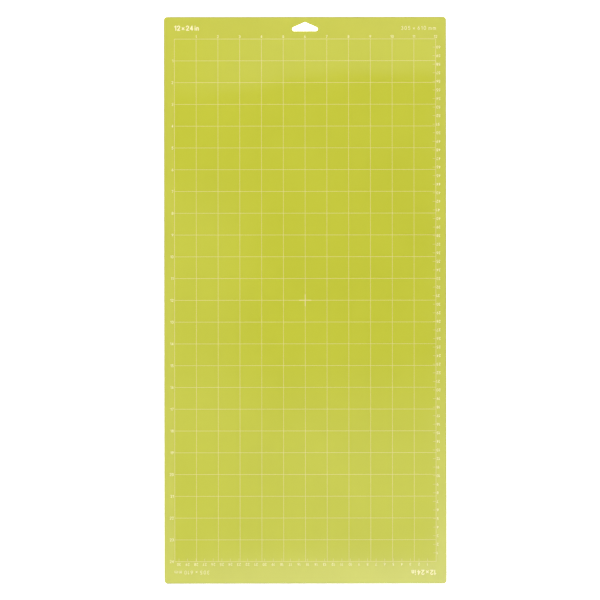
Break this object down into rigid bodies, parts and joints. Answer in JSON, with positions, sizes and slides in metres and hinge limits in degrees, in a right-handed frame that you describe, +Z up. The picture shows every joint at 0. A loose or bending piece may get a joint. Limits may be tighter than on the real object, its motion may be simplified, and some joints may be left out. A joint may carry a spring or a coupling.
{
  "type": "cutting mat",
  "caption": "Thin grip mat for a cutting machine: plastic carrier sheet with a tacky gridded field, printed inch and centimetre scales and a hang slot.",
  "frame": {"origin": "under the centre of the mat, on the surface that it lies on", "axes": "+X across the mat to the side with the centimetre numbers, +Y along it to the end with the hang slot, +Z up out of the printed face"},
  "size_m": [0.3294, 0.6614, 0.0009],
  "materials": {
    "sheet_plastic": "satin lime green, fine grained",
    "tacky_coat": "glossy tacky coat, slightly rippled",
    "white_ink": "thin screen-printed white ink"
  },
  "bodies": {
    "root": {"carrier_sheet": "sheet_plastic", "adhesive_coat": "tacky_coat", "grid_border": "white_ink", "inch_grid_lines": "white_ink", "centre_cross": "white_ink", "cm_ticks_side": "white_ink", "cm_ticks_end": "white_ink", "inch_numerals_end": "white_ink", "inch_numerals_side": "white_ink", "cm_numerals_end": "white_ink", "cm_numerals_side": "white_ink", "inch_size_mark_top": "white_ink", "mm_size_mark_top": "white_ink", "inch_size_mark_bottom": "white_ink", "mm_size_mark_bottom": "white_ink"}
  },
  "joints": []
}
